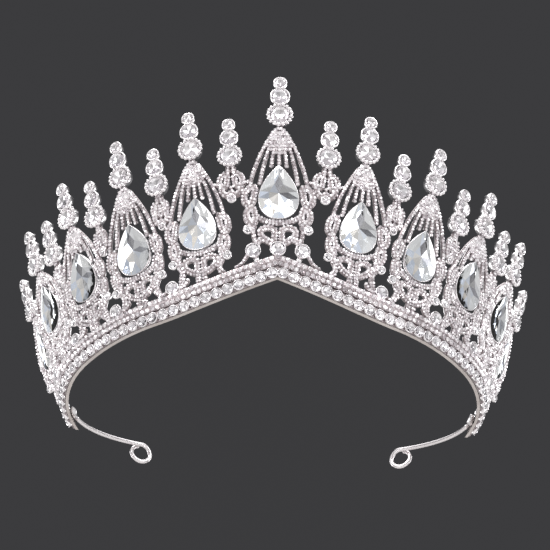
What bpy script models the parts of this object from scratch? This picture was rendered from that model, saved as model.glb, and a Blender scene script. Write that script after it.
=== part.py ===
"""Bridal tiara: an open C-shaped band that rises to a point at the front, flared spires with pear-cut
stones, small stone finials between them, and two wire tails with hair-pin loops.
Metres, +Z up, the band's lower edge on Z = 0, the wearer's face towards -Y."""
import math

import bpy
import bmesh
from mathutils import Matrix, Vector

# ---- driving dimensions (millimetres, converted to metres by MM) ----
MM = 0.001
RING_R = 61.0            # half width of the band's middle surface at its lower edge
RING_ELL = 0.92          # depth of the band's curve as a share of its half width
BEND, BEND_FROM = 0.11, 55.0    # the band's ends bend inwards from this angle on
FLARE = 21.7             # outward lean of the crown wall, degrees
END_ANGLE = 85.0         # the band ends this far round from the front, degrees
PEAK_H = 7.2             # rise of the lower edge at the front
PEAK_ANGLE = 29.0        # the rise has gone this far round from the front, degrees
PEAK_POWER = 1.65
BAND_H = 6.4             # band height up the flared wall
BAND_T = 0.9             # band strip thickness
GAP = 0.3                # solder gap kept between neighbouring pieces
CHAIN_B = (0.25, 3.3)    # cup chain, lower and upper edge on the band
RAIL_B = (3.65, 6.2)     # bead rail, lower and upper edge on the band
CHAIN_FOOT = 0.35        # underside of the cup chain above the table
CHAIN_T, RAIL_T = 2.0, 1.3
PLATE_T = 1.5            # thickness of the cast openwork
MAIN_ANGLES = (0.0, 17.4, 32.9, 48.0, 62.7, 76.6)
MAIN_SCALE = (1.15, 1.1, 1.1, 1.1, 1.1, 1.1)
MAIN_LIFT = (-0.5, -0.6, -0.8, -0.4, 0.6, 0.3)      # spires set a little higher or lower on the band
MAIN_DROP = (0.4, 0.2, 0.1, 2.8, 6.2, 7.8)          # the fans get shorter towards the ends
MAIN_SIDE = (0.75, 0.66, 0.6, 0.5, 0.42, 0.42)      # width of the side lobes
MAIN_FOOT = (1.0, 1.0, 1.0, 0.95, 0.9, 0.62)        # spread of the legs
MID_ANGLES = (9.7, 25.2, 40.7, 55.3)
MID_LIFT = (0.3, -0.3, -0.4, -0.2)
MID_DROP = (0.0, 0.1, 0.9, 2.3)
MID_SCALE = (1.1, 1.1, 1.1, 1.1)
MID_BASE = (0.95, 0.64, 0.5, 0.45)        # width of the leaf under each small finial
TAIL_D = 1.2             # tail wire
TAIL_ROOT_ANGLE = 83.6   # the wire leaves its solder bead here, degrees from the front
TAIL_Z = 2.9             # height of the wire at its root
BEAD_ANGLE = 80.7        # solder bead on the band's inner face
LOOP_R = 2.7             # hair-pin loop, wire centre line
END_STONE_ANGLE = 83.4
BEAD_TURN = 15.0         # the band's own turn at the bead, past its angle

F = math.radians(FLARE)


def rise(phi_deg):
    """Height of the lower edge above the table at an angle from the front."""
    t = 1.0 - abs(phi_deg) / PEAK_ANGLE
    return PEAK_H * max(t, 0.0) ** PEAK_POWER


def ring_point(phi_deg, out=0.0):
    """Point on the band's curve in plan, out millimetres along the angle's own direction."""
    p = math.radians(phi_deg)
    r = RING_R * (1.0 - BEND * max(0.0, (abs(phi_deg) - BEND_FROM) / 30.0) ** 2)
    return Vector(((r + out) * math.sin(p), -(r * RING_ELL + out) * math.cos(p), 0.0))


def on_wall(phi_deg, b, c):
    """Point on the flared wall: b up the slope from the lower edge, c outwards."""
    v = rise(phi_deg) / math.cos(F) + b
    p = ring_point(phi_deg, v * math.sin(F) + c * math.cos(F))
    p.z = v * math.cos(F) - c * math.sin(F)
    return p * MM


def inside(phi_deg, z, inset):
    """Point at a height above the table, inset from the band's inner face, where the edge lies flat."""
    p = ring_point(phi_deg, z * math.tan(F) - BAND_T / 2 / math.cos(F) - inset)
    p.z = z
    return p


def seat(phi_deg, lift=0.0):
    """Frame of a flat motif on the wall: x along the band, y up the slope, z outwards. lift moves it up the slope."""
    p = math.radians(phi_deg)
    radial = Vector((math.sin(p), -math.cos(p), 0.0))
    x = Vector((math.cos(p), math.sin(p), 0.0))
    y = radial * math.sin(F) + Vector((0, 0, math.cos(F)))
    z = radial * math.cos(F) - Vector((0, 0, math.sin(F)))
    m = Matrix((x, y, z)).transposed().to_4x4()
    m.translation = on_wall(phi_deg, lift, 0.0)
    return m


def edge_offset(phi_deg, a):
    """Height of the band's edge at distance a along the band, relative to the motif's own angle."""
    r = ring_point(phi_deg, (rise(phi_deg) / math.cos(F) + BAND_H) * math.sin(F)).length
    phi2 = phi_deg + math.degrees(math.atan2(a, r))
    return (rise(phi2) - rise(phi_deg)) / math.cos(F)


def material(name, colour, metallic, roughness, glass=0.0):
    m = bpy.data.materials.new(name)
    m.use_nodes = True
    s = m.node_tree.nodes["Principled BSDF"]
    s.inputs["Base Color"].default_value = (*colour, 1.0)
    s.inputs["Metallic"].default_value = metallic
    s.inputs["Roughness"].default_value = roughness
    s.inputs["Transmission Weight"].default_value = glass
    m.diffuse_color = (*colour, 1.0)
    return m


def add(name, mesh, mat, parent=None, matrix=None):
    o = bpy.data.objects.new(name, mesh)
    mesh.materials.clear()
    mesh.materials.append(mat)
    bpy.context.scene.collection.objects.link(o)
    if parent is not None:
        o.parent = parent
    if matrix is not None:
        o.matrix_local = matrix
    return o


def mesh_of(bm, name):
    bmesh.ops.recalc_face_normals(bm, faces=bm.faces)
    mesh = bpy.data.meshes.new(name)
    bm.to_mesh(mesh)
    bm.free()
    return mesh


# ---- flat openwork plates: outlines with holes, filled and extruded ----
def plate(name, outlines, c0, c1):
    """Closed solid from flat outlines in millimetres (the first is the outside, the others are holes)."""
    curve = bpy.data.curves.new(name + "_outline", "CURVE")
    curve.dimensions = "2D"
    curve.fill_mode = "BOTH"
    curve.extrude = 0.5 * (c1 - c0) * MM
    for pts in outlines:
        sp = curve.splines.new("POLY")
        sp.points.add(len(pts) - 1)
        for q, (a, b) in zip(sp.points, pts):
            q.co = (a * MM, b * MM, 0.0, 1.0)
        sp.use_cyclic_u = True
    tmp = bpy.data.objects.new(name + "_outline", curve)
    bpy.context.scene.collection.objects.link(tmp)
    bpy.context.view_layer.update()
    made = bpy.data.meshes.new_from_object(tmp.evaluated_get(bpy.context.evaluated_depsgraph_get()))
    bpy.data.objects.remove(tmp)
    bpy.data.curves.remove(curve)
    bm = bmesh.new()
    bm.from_mesh(made)
    bpy.data.meshes.remove(made)
    bmesh.ops.remove_doubles(bm, verts=bm.verts, dist=1e-6)
    bmesh.ops.translate(bm, verts=bm.verts, vec=Vector((0, 0, 0.5 * (c0 + c1) * MM)))
    return mesh_of(bm, name)


def arc(cx, cy, r, a0, a1, n):
    return [(cx + r * math.cos(math.radians(a0 + (a1 - a0) * i / (n - 1))),
             cy + r * math.sin(math.radians(a0 + (a1 - a0) * i / (n - 1)))) for i in range(n)]


def pear(cy, half_w, height, n, grow=0.0):
    """Pear outline, point up. cy is the height of its box centre."""
    pts = []
    low = cy - height / 2
    for i in range(n):
        t = 2 * math.pi * i / n
        u = 0.5 - 0.5 * math.cos(t)                  # 0 at the round end, 1 at the point
        w = half_w * 1.39 * math.sin(t) * (0.5 + 0.5 * math.cos(t)) ** 0.42
        pts.append((w * (1 + grow / half_w), low - grow + (height + 2 * grow) * u))
    return pts


def rib_a(t, b, drop=0.0, low=19.5):
    """Half-width of the fan rib t (-1..1) at height b."""
    top = 37.4 - drop
    s = min(max((top - b) / (top - low), 0.0), 1.0)
    return t * (1.3 + 5.6 * (1 - (1 - s) ** 1.8))


def lowered(cups, drop):
    return tuple((b - drop, r) for b, r in cups)


TEAR_B, TEAR_W, TEAR_H = 21.4, 4.35, 13.4     # pear stone: centre height, half width, height
FINIAL = ((41.4, 3.25), (46.3, 2.45), (49.9, 1.72))       # cup centres and radii, on a spire
MID_FINIAL = ((35.0, 3.2), (39.9, 2.4), (43.5, 1.7))      # the same, on a small finial


def cups_right(cups, neck, n=(4, 3, 4)):
    """Right-hand outline down a stack of three round cups."""
    (b1, r1), (b2, r2), (b3, r3) = cups
    pts = arc(0, b3, r3, 72, -38, n[0]) + arc(0, b2, r2, 42, -42, n[1]) + arc(0, b1, r1, 46, -62, n[2])
    return pts + neck


def main_outlines(phi, m, lift, drop, side, foot):
    edge = lambda a: (BAND_H + GAP + 0.1 - lift + edge_offset(phi, a * m)) / m
    cups = lowered(FINIAL, drop)
    wide = lambda a: 5.6 + (a - 5.6) * side        # the lobes beside the pear stone

    def right(sign):
        pts = cups_right(cups, [(1.75, 37.7 - drop)])
        n = 4
        for j in range(n):
            b = 34.5 - drop + (23.2 - 34.5 + drop) * j / (n - 1)
            pts.append((rib_a(1, b, drop) + 0.6, b))
        pts += [(wide(9.15), 21.4), (wide(9.4), 19.3), (wide(8.9), 17.0), (wide(9.1), 15.0), (wide(8.3), 13.0)]
        f3, f2, f1, f0 = 6.0 * foot, 4.9 * foot, 1.9, 0.7
        e3, e2, e1, e0 = (edge(sign * f) for f in (f3, f2, f1, f0))
        pts += [(f3 + 0.4, max(11.2, e3 + 1.2)), (f3, e3), (f2, e2), (f2 - 0.5, max(9.2, e2 + 0.7)),
                (f1 + 0.5, max(8.8, e1 + 0.7)), (f1, e1), (f0, e0)]
        return pts
    r = right(1)
    l = [(-a, b) for a, b in right(-1)]
    outer = [(0.0, cups[2][0] + cups[2][1])] + r + l[::-1]
    holes = [pear(TEAR_B, TEAR_W, TEAR_H, 16, GAP + 0.05)]
    # slots between the seven ribs
    top = 33.4 - drop
    for i in range(6):
        t0, t1 = -1 + i / 3.0, -1 + (i + 1) / 3.0
        tm = abs(t0 + t1) / 2
        low = {0: 29.7, 1: 28.1, 2: 24.6}[min(2, int(round((tm - 1 / 6) * 3)))]
        if top - low < 1.6:
            continue
        lefts, rights = [], []
        for j in range(3):
            b = top + (low - top) * j / 2.0
            a0, a1 = rib_a(t0, b, drop) + 0.5, rib_a(t1, b, drop) - 0.5
            if a1 - a0 < 0.12:
                mid = (a0 + a1) / 2
                a0, a1 = mid - 0.06, mid + 0.06
            lefts.append((a0, b))
            rights.append((a1, b))
        holes.append(lefts + rights[::-1])
    six = [k * math.pi / 3 for k in range(6)]
    for s in (1, -1):
        holes.append([(s * wide(7.85) + 0.9 * side * math.cos(q), 19.8 + 0.85 * math.sin(q)) for q in six])
        holes.append([(s * wide(7.6) + 0.85 * side * math.cos(q), 15.8 + 0.85 * math.sin(q)) for q in six])
        holes.append([(s * 3.5 + 1.0 * math.cos(q), 11.6 + 0.65 * math.sin(q)) for q in six])
    scale = lambda pts: [(a * m, b * m) for a, b in pts]
    return [scale(p) for p in [outer] + holes]


def mid_outlines(m, w, drop):
    cups = lowered(MID_FINIAL, drop)
    leaf = lambda b: 31.6 - drop - (31.6 - b) * (9.2 - drop) / 8.8
    r = cups_right(cups, [(1.35, leaf(31.6)), (2.3 * w, leaf(30.6)), (2.85 * w, leaf(29.2)), (2.9 * w, leaf(27.6)),
                          (2.5 * w, leaf(26.0)), (1.8 * w, leaf(25.0)), (1.2 * w, leaf(24.2)), (0.8 * w, leaf(22.8))])
    outer = [(0.0, cups[2][0] + cups[2][1])] + r + [(-a, b) for a, b in r[::-1]]
    holes = [[(0.55 * w * math.cos(q), leaf(28.6) + 1.0 * math.sin(q)) for q in [k * math.pi / 3 for k in range(6)]]]
    return [[(a * m, b * m) for a, b in p] for p in [outer] + holes]


def gem(outline, c_back, c_girdle, c_top, table=0.55, back=0.5):
    """Closed faceted stone: a flat back, a girdle and a flat table."""
    cx = sum(p[0] for p in outline) / len(outline)
    cy = sum(p[1] for p in outline) / len(outline)
    bm = bmesh.new()
    levels = []
    for c, k in ((c_back, back), (c_girdle - 0.15, 1.0), (c_girdle + 0.15, 1.0), (c_top, table)):
        levels.append([bm.verts.new(((cx + (a - cx) * k) * MM, (cy + (b - cy) * k) * MM, c * MM)) for a, b in outline])
    n = len(outline)
    for lo, hi in zip(levels, levels[1:]):
        for i in range(n):
            bm.faces.new((lo[i], lo[(i + 1) % n], hi[(i + 1) % n], hi[i]))
    bm.faces.new(levels[0][::-1])
    bm.faces.new(levels[-1])
    return bm


def finial_stones(name, cups, m):
    """Three round stones of one finial, held together by the foil strip behind them."""
    c0 = PLATE_T / 2 + GAP
    left, right = [], []
    (b1, r1), (b2, r2), (b3, r3) = [(b * m, (r - 0.55) * m) for b, r in cups]
    neck = 0.45
    for (b, r), lo, hi in (((b3, r3), -70, 90), ((b2, r2), -74, 72), ((b1, r1), -90, 76)):
        right += arc(0, b, r, hi, lo, 4)
    right = [(0.0 if abs(a) < 1e-6 else a, b) for a, b in right]
    pts = right + [(-a, b) for a, b in right[::-1] if a > 1e-6]
    bm = bmesh.new()
    lo = [bm.verts.new((a * MM, b * MM, c0 * MM)) for a, b in pts]
    hi = [bm.verts.new((a * MM, b * MM, (c0 + 0.9) * MM)) for a, b in pts]
    n = len(pts)
    for i in range(n):
        bm.faces.new((lo[i], lo[(i + 1) % n], hi[(i + 1) % n], hi[i]))
    bm.faces.new(lo[::-1])
    bm.faces.new(hi)
    bmesh.ops.triangulate(bm, faces=[f for f in bm.faces if len(f.verts) > 4])
    return mesh_of(bm, name)


def swept(name, b0, b1, c0, c1, angle, steps, foot_z=None):
    """Strip swept round the wall between two heights and two depths; foot_z levels its underside."""
    bm = bmesh.new()
    rows = []
    for i in range(steps + 1):
        phi = -angle + 2 * angle * i / steps
        ring = [on_wall(phi, b0, c0), on_wall(phi, b0, c1), on_wall(phi, b1, c1), on_wall(phi, b1, c0)]
        if foot_z is not None:
            for k in (0, 1):
                ring[k].z = (rise(phi) + foot_z) * MM
        rows.append([bm.verts.new(p) for p in ring])
    for q0, q1 in zip(rows, rows[1:]):
        for k in range(4):
            bm.faces.new((q0[k], q0[(k + 1) % 4], q1[(k + 1) % 4], q1[k]))
    bm.faces.new(rows[0])
    bm.faces.new(rows[-1][::-1])
    return mesh_of(bm, name)


def tail_points(side):
    """Centre line of a wire tail: from its root behind the band end to the loop that hangs at its far end."""
    root = inside(TAIL_ROOT_ANGLE, TAIL_Z, GAP + TAIL_D / 2 + 0.1)
    far = Vector((36.9, 9.9, 2 * LOOP_R + TAIL_D / 2 + 0.15))
    ctrl = Vector((root.x * 0.93, root.y + 8.0, TAIL_Z + 0.4))
    pts = []
    for i in range(9):
        t = i / 8.0
        pts.append(root * (1 - t) ** 2 + ctrl * 2 * t * (1 - t) + far * t * t)
    d = (pts[-1] - pts[-2])
    d.z = 0
    d.normalize()
    up = Vector((0, 0, 1))
    drift = Vector((d.y, -d.x, 0)) * (TAIL_D * 1.12)     # the loop closes beside the wire
    for i in range(1, 13):
        q = math.radians(340.0 * i / 12)
        pts.append(pts[8] + d * LOOP_R * math.sin(q) - up * LOOP_R * (1 - math.cos(q)) + drift * (i / 12.0))
    return [Vector((side * p.x, p.y, p.z)) for p in pts]


def tail(name, side, mat, parent):
    pts = tail_points(side)
    curve = bpy.data.curves.new(name, "CURVE")
    curve.dimensions = "3D"
    curve.bevel_depth = TAIL_D / 2 * MM
    curve.bevel_resolution = 1
    curve.use_fill_caps = True
    sp = curve.splines.new("POLY")
    sp.points.add(len(pts) - 1)
    root = pts[0]
    for q, p in zip(sp.points, pts):
        q.co = (*((p - root) * MM), 1.0)
    o = bpy.data.objects.new(name, curve)
    curve.materials.append(mat)
    bpy.context.scene.collection.objects.link(o)
    o.parent = parent
    o.location = root * MM                  # the origin is on the bending axis
    return o


def main():
    for o in list(bpy.data.objects):
        bpy.data.objects.remove(o)
    silver = material("silver_plate", (0.86, 0.85, 0.86), 1.0, 0.2)
    strip = material("band_strip", (0.8, 0.78, 0.78), 1.0, 0.3)
    crystal = material("clear_crystal", (0.95, 0.96, 1.0), 0.0, 0.03, 0.6)
    pave = material("pave_row", (0.93, 0.93, 0.96), 0.3, 0.1)
    wire = material("steel_wire", (0.78, 0.76, 0.76), 1.0, 0.25)

    root = bpy.data.objects.new("tiara", None)
    bpy.context.scene.collection.objects.link(root)

    add("base_band", swept("base_band", 0.0, BAND_H, -BAND_T / 2, BAND_T / 2, END_ANGLE, 64, 0.0), strip, root)
    c0 = BAND_T / 2 + GAP
    add("cup_chain", swept("cup_chain", CHAIN_B[0], CHAIN_B[1], c0, c0 + CHAIN_T, END_ANGLE - 0.6, 64, CHAIN_FOOT), pave, root)
    add("bead_rail", swept("bead_rail", RAIL_B[0], RAIL_B[1], c0, c0 + RAIL_T, END_ANGLE - 0.6, 64), pave, root)

    def side_name(base, k, side):
        return f"{base}_center" if k == 0 else f"{base}_{'right' if side > 0 else 'left'}_{k}"

    mains = zip(MAIN_ANGLES, MAIN_SCALE, MAIN_LIFT, MAIN_DROP, MAIN_SIDE, MAIN_FOOT)
    for k, (phi, m, lift, drop, lobe, foot) in enumerate(mains):
        for side in ((1,) if k == 0 else (1, -1)):
            frame = seat(side * phi, lift)
            name = side_name("spire", k, side)
            add(name, plate(name, main_outlines(side * phi, m, lift, drop, lobe, foot), -PLATE_T / 2, PLATE_T / 2), silver, root, frame)
            name = side_name("pear_stone", k, side)
            bm = gem([(a * m, b * m) for a, b in pear(TEAR_B, TEAR_W, TEAR_H, 16)], -1.4 * m, 0.9 * m, 2.9 * m)
            add(name, mesh_of(bm, name), crystal, root, frame)
            name = side_name("spire_stones", k, side)
            add(name, finial_stones(name, lowered(FINIAL, drop), m), crystal, root, frame)
    mids = zip(MID_ANGLES, MID_SCALE, MID_BASE, MID_LIFT, MID_DROP)
    for k, (phi, m, w, lift, drop) in enumerate(mids, start=1):
        for side in (1, -1):
            frame = seat(side * phi, lift)
            name = side_name("finial", k, side)
            add(name, plate(name, mid_outlines(m, w, drop), -PLATE_T / 2, PLATE_T / 2), silver, root, frame)
            name = side_name("finial_stones", k, side)
            add(name, finial_stones(name, lowered(MID_FINIAL, drop), m), crystal, root, frame)
    for side, word in ((1, "right"), (-1, "left")):
        frame = seat(side * END_STONE_ANGLE)
        ring = [(1.5 * math.cos(k * math.pi / 5), BAND_H + 2.2 + 1.5 * math.sin(k * math.pi / 5)) for k in range(10)]
        add(f"end_stone_{word}", mesh_of(gem(ring, -0.8, 1.0, 2.2), f"end_stone_{word}"), crystal, root, frame)
        tail(f"tail_wire_{word}", side, wire, root)
        # solder bead on the band's inner face, ahead of the wire's root
        bm = bmesh.new()
        bmesh.ops.create_uvsphere(bm, u_segments=10, v_segments=6, radius=MM)
        bmesh.ops.scale(bm, verts=bm.verts, vec=Vector((2.1, 0.8, 0.95)))
        p0 = math.radians(BEAD_ANGLE)
        at = inside(BEAD_ANGLE, TAIL_Z, GAP + 1.0)
        o = add(f"solder_bead_{word}", mesh_of(bm, f"solder_bead_{word}"), silver, root)
        o.location = Vector((side * at.x, at.y, at.z)) * MM
        o.rotation_euler = (0, 0, side * (p0 + math.radians(BEAD_TURN)))

    # the frame's origin goes to the bottom centre of the whole part
    bpy.context.view_layer.update()
    graph = bpy.context.evaluated_depsgraph_get()
    ys = []
    for o in bpy.data.objects:
        if o.type in ("MESH", "CURVE"):
            e = o.evaluated_get(graph)
            me = e.to_mesh()
            ys += [(o.matrix_world @ v.co).y for v in me.vertices]
            e.to_mesh_clear()
    root.location.y = -0.5 * (min(ys) + max(ys))


main()
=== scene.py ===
"""Looks of the bridal tiara: pave-set openwork spires, faceted crystals, cup chain, bead rail and wire tails."""
import math
import random

import bmesh
import bpy
from mathutils import Matrix, Vector


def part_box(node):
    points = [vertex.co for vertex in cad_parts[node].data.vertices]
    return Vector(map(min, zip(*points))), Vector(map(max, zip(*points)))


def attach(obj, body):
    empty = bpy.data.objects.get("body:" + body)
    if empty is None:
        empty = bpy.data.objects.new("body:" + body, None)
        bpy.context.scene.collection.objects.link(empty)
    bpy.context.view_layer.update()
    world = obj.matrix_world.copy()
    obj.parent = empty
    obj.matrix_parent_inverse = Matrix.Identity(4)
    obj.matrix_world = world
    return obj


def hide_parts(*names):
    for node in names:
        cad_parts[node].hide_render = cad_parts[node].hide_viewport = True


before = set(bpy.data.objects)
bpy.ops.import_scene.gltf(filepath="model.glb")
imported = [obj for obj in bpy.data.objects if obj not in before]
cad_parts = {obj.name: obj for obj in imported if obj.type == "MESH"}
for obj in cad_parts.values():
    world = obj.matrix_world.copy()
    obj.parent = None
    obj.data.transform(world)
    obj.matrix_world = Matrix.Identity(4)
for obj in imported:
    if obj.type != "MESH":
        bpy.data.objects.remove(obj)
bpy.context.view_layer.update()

MM = 0.001

# ---- the same driving dimensions as the part (millimetres) ----
RING_R, RING_ELL, BEND, BEND_FROM = 61.0, 0.92, 0.11, 55.0
FLARE, END_ANGLE = 21.7, 85.0
PEAK_H, PEAK_ANGLE, PEAK_POWER = 7.2, 29.0, 1.65
BAND_H, BAND_T = 6.4, 0.9
MAIN_ANGLES = (0.0, 17.4, 32.9, 48.0, 62.7, 76.6)
MAIN_SCALE = (1.15, 1.1, 1.1, 1.1, 1.1, 1.1)
MAIN_LIFT = (-0.5, -0.6, -0.8, -0.4, 0.6, 0.3)
MAIN_DROP = (0.4, 0.2, 0.1, 2.8, 6.2, 7.8)
MAIN_SIDE = (0.75, 0.66, 0.6, 0.5, 0.42, 0.42)
MAIN_FOOT = (1.0, 1.0, 1.0, 0.95, 0.9, 0.62)
MID_ANGLES = (9.7, 25.2, 40.7, 55.3)
MID_LIFT = (0.3, -0.3, -0.4, -0.2)
MID_DROP = (0.0, 0.1, 0.9, 2.3)
MID_SCALE = (1.1, 1.1, 1.1, 1.1)
MID_BASE = (0.95, 0.64, 0.5, 0.45)
END_STONE_ANGLE = 83.4
TEAR_B, TEAR_W, TEAR_H = 21.4, 4.12, 13.4
FINIAL = ((41.4, 3.15), (46.3, 2.36), (49.9, 1.66))
MID_FINIAL = ((35.0, 3.1), (39.9, 2.3), (43.5, 1.66))
TAIL_D, TAIL_ROOT_ANGLE, TAIL_Z, LOOP_R = 1.2, 83.6, 2.9, 2.7
BEAD_ANGLE, BEAD_TURN = 80.7, 15.0
GAP = 0.3
F = math.radians(FLARE)
rng = random.Random(11)

# the ring's centre in the row frame, from the band's own node
_lo, _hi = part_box("base_band")
_r = RING_R * RING_ELL + (PEAK_H / math.cos(F) + BAND_H) * math.sin(F) + BAND_T / 2 * math.cos(F)
RING_Y = _lo[1] / MM + _r


def rise(phi):
    return PEAK_H * max(1.0 - abs(phi) / PEAK_ANGLE, 0.0) ** PEAK_POWER


def ring_point(phi, out=0.0):
    p = math.radians(phi)
    r = RING_R * (1.0 - BEND * max(0.0, (abs(phi) - BEND_FROM) / 30.0) ** 2)
    return Vector(((r + out) * math.sin(p), RING_Y - (r * RING_ELL + out) * math.cos(p), 0.0))


def on_wall(phi, b, c):
    v = rise(phi) / math.cos(F) + b
    p = ring_point(phi, v * math.sin(F) + c * math.cos(F))
    p.z = v * math.cos(F) - c * math.sin(F)
    return p


def inside(phi, z, inset):
    p = ring_point(phi, z * math.tan(F) - BAND_T / 2 / math.cos(F) - inset)
    p.z = z
    return p


def seat(phi, lift=0.0):
    p = math.radians(phi)
    radial = Vector((math.sin(p), -math.cos(p), 0.0))
    x = Vector((math.cos(p), math.sin(p), 0.0))
    y = radial * math.sin(F) + Vector((0, 0, math.cos(F)))
    z = radial * math.cos(F) - Vector((0, 0, math.sin(F)))
    m = Matrix((x, y, z)).transposed().to_4x4()
    m.translation = on_wall(phi, lift, 0.0) * MM
    return m


def edge_offset(phi, a):
    """Height of the band's edge at distance a along the band, relative to the motif's own angle."""
    q = ring_point(phi, (rise(phi) / math.cos(F) + BAND_H) * math.sin(F))
    r = math.hypot(q.x, q.y - RING_Y)
    return (rise(phi + math.degrees(math.atan2(a, r))) - rise(phi)) / math.cos(F)


def lowered(cups, drop):
    return tuple((b - drop, r) for b, r in cups)


def wall_frame(phi, b, c):
    """Frame on the wall that follows the band's own slope: x along the band, z outwards (millimetres)."""
    o = on_wall(phi, b, c)
    x = (on_wall(phi + 0.2, b, c) - on_wall(phi - 0.2, b, c)).normalized()
    p = math.radians(phi)
    n = Vector((math.sin(p) * math.cos(F), -math.cos(p) * math.cos(F), -math.sin(F)))
    z = (n - x * n.dot(x)).normalized()
    m = Matrix((x, z.cross(x), z)).transposed().to_4x4()
    m.translation = o
    return m


# ---- materials ----
def nodes_of(name):
    m = bpy.data.materials.new(name)
    m.use_nodes = True
    return m, m.node_tree.nodes, m.node_tree.links, m.node_tree.nodes["Principled BSDF"]


def ramp(nodes, stops):
    r = nodes.new("ShaderNodeValToRGB")
    e = r.color_ramp.elements
    while len(e) < len(stops):
        e.new(0.5)
    for el, (p, c) in zip(e, stops):
        el.position = p
        el.color = (*c, 1.0)
    return r


def metal(name, dark, light, rough, scale, bump=0.0):
    """Plated metal: cloudy tone, uneven polish and a slight casting texture."""
    m, n, l, s = nodes_of(name)
    s.inputs["Metallic"].default_value = 1.0
    co = n.new("ShaderNodeTexCoord")
    t = n.new("ShaderNodeTexNoise")
    t.inputs["Scale"].default_value = scale
    t.inputs["Detail"].default_value = 4.0
    l.new(co.outputs["Object"], t.inputs["Vector"])
    r = ramp(n, ((0.3, dark), (0.7, light)))
    l.new(t.outputs["Fac"], r.inputs["Fac"])
    l.new(r.outputs["Color"], s.inputs["Base Color"])
    mr = n.new("ShaderNodeMapRange")
    mr.inputs["To Min"].default_value = rough[0]
    mr.inputs["To Max"].default_value = rough[1]
    l.new(t.outputs["Fac"], mr.inputs["Value"])
    l.new(mr.outputs["Result"], s.inputs["Roughness"])
    if bump:
        t2 = n.new("ShaderNodeTexNoise")
        t2.inputs["Scale"].default_value = scale * 4
        l.new(co.outputs["Object"], t2.inputs["Vector"])
        b = n.new("ShaderNodeBump")
        b.inputs["Strength"].default_value = bump
        b.inputs["Distance"].default_value = 0.0002
        l.new(t2.outputs["Fac"], b.inputs["Height"])
        l.new(b.outputs["Normal"], s.inputs["Normal"])
    return m


def pave_material():
    """Tiny foil-backed stones: mirror facets, each stone a little different."""
    m, n, l, s = nodes_of("pave_stones")
    s.inputs["Metallic"].default_value = 0.85
    s.inputs["Specular IOR Level"].default_value = 0.8
    g = n.new("ShaderNodeNewGeometry")
    r = ramp(n, ((0.0, (0.5, 0.455, 0.475)), (0.3, (0.88, 0.84, 0.87)), (0.8, (0.97, 0.93, 0.945)), (1.0, (0.99, 0.97, 0.99))))
    l.new(g.outputs["Random Per Island"], r.inputs["Fac"])
    l.new(r.outputs["Color"], s.inputs["Base Color"])
    mr = n.new("ShaderNodeMapRange")
    mr.inputs["To Min"].default_value = 0.03
    mr.inputs["To Max"].default_value = 0.16
    l.new(g.outputs["Random Per Island"], mr.inputs["Value"])
    l.new(mr.outputs["Result"], s.inputs["Roughness"])
    return m


def glass_material():
    m, n, l, s = nodes_of("cut_crystal")
    s.inputs["Transmission Weight"].default_value = 1.0
    s.inputs["IOR"].default_value = 1.32
    s.inputs["Roughness"].default_value = 0.0
    co = n.new("ShaderNodeTexCoord")
    t = n.new("ShaderNodeTexNoise")
    t.inputs["Scale"].default_value = 120.0
    l.new(co.outputs["Object"], t.inputs["Vector"])
    r = ramp(n, ((0.3, (0.96, 0.98, 1.0)), (0.7, (1.0, 1.0, 1.0))))
    l.new(t.outputs["Fac"], r.inputs["Fac"])
    l.new(r.outputs["Color"], s.inputs["Base Color"])
    return m


def painted_reflection_foil_material(name, stops):
    """Mirror foil behind a stone, with painted reflections: each facet gets a lighter, darker or tinted tone set by
    the direction it faces.
    """
    m, n, l, s = nodes_of(name)
    s.inputs["Metallic"].default_value = 1.0
    s.inputs["Roughness"].default_value = 0.02
    g = n.new("ShaderNodeNewGeometry")
    x = n.new("ShaderNodeTexCoord")
    d = n.new("ShaderNodeVectorMath")
    d.operation = "DOT_PRODUCT"
    d.inputs[1].default_value = (2.9, 2.1, 0.42)
    l.new(x.outputs["Normal"], d.inputs[0])
    fr = n.new("ShaderNodeMath")
    fr.operation = "FRACT"
    l.new(d.outputs["Value"], fr.inputs[0])
    # the ramp holds the painted reflection tones, picked by the facet's direction
    r = ramp(n, stops)
    l.new(fr.outputs["Value"], r.inputs["Fac"])
    l.new(r.outputs["Color"], s.inputs["Base Color"])
    return m


SILVER = metal("bright_silver", (0.8, 0.77, 0.785), (0.95, 0.92, 0.935), (0.12, 0.26), 260.0, 0.25)
# darker, brownish copy of the silver for the plain band: painted shade and a painted reflection of a brown wooden
# table
BAND_PAINTED_SHADE_AND_REFLECTION = metal("band_strip_painted_shade_and_reflection", (0.5, 0.45, 0.43), (0.72, 0.67, 0.65), (0.14, 0.3), 90.0, 0.08)
WIRE = metal("drawn_wire", (0.72, 0.68, 0.69), (0.9, 0.87, 0.88), (0.14, 0.26), 60.0)
SOLDER = metal("solder", (0.62, 0.6, 0.61), (0.86, 0.84, 0.85), (0.2, 0.38), 300.0, 0.12)
# darker copy of the silver for the stone side of bars and strips: painted shade between the pave stones
PAVE_BED_PAINTED_SHADE = metal("pave_bed_painted_shade", (0.245, 0.205, 0.212), (0.5, 0.45, 0.46), (0.22, 0.4), 500.0, 0.4)
COAT = metal("foil_coat", (0.6, 0.58, 0.59), (0.74, 0.72, 0.73), (0.36, 0.52), 180.0, 0.06)
next(q for q in COAT.node_tree.nodes if q.type == "BSDF_PRINCIPLED").inputs["Metallic"].default_value = 0.45
PAVE = pave_material()
GLASS = glass_material()
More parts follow.
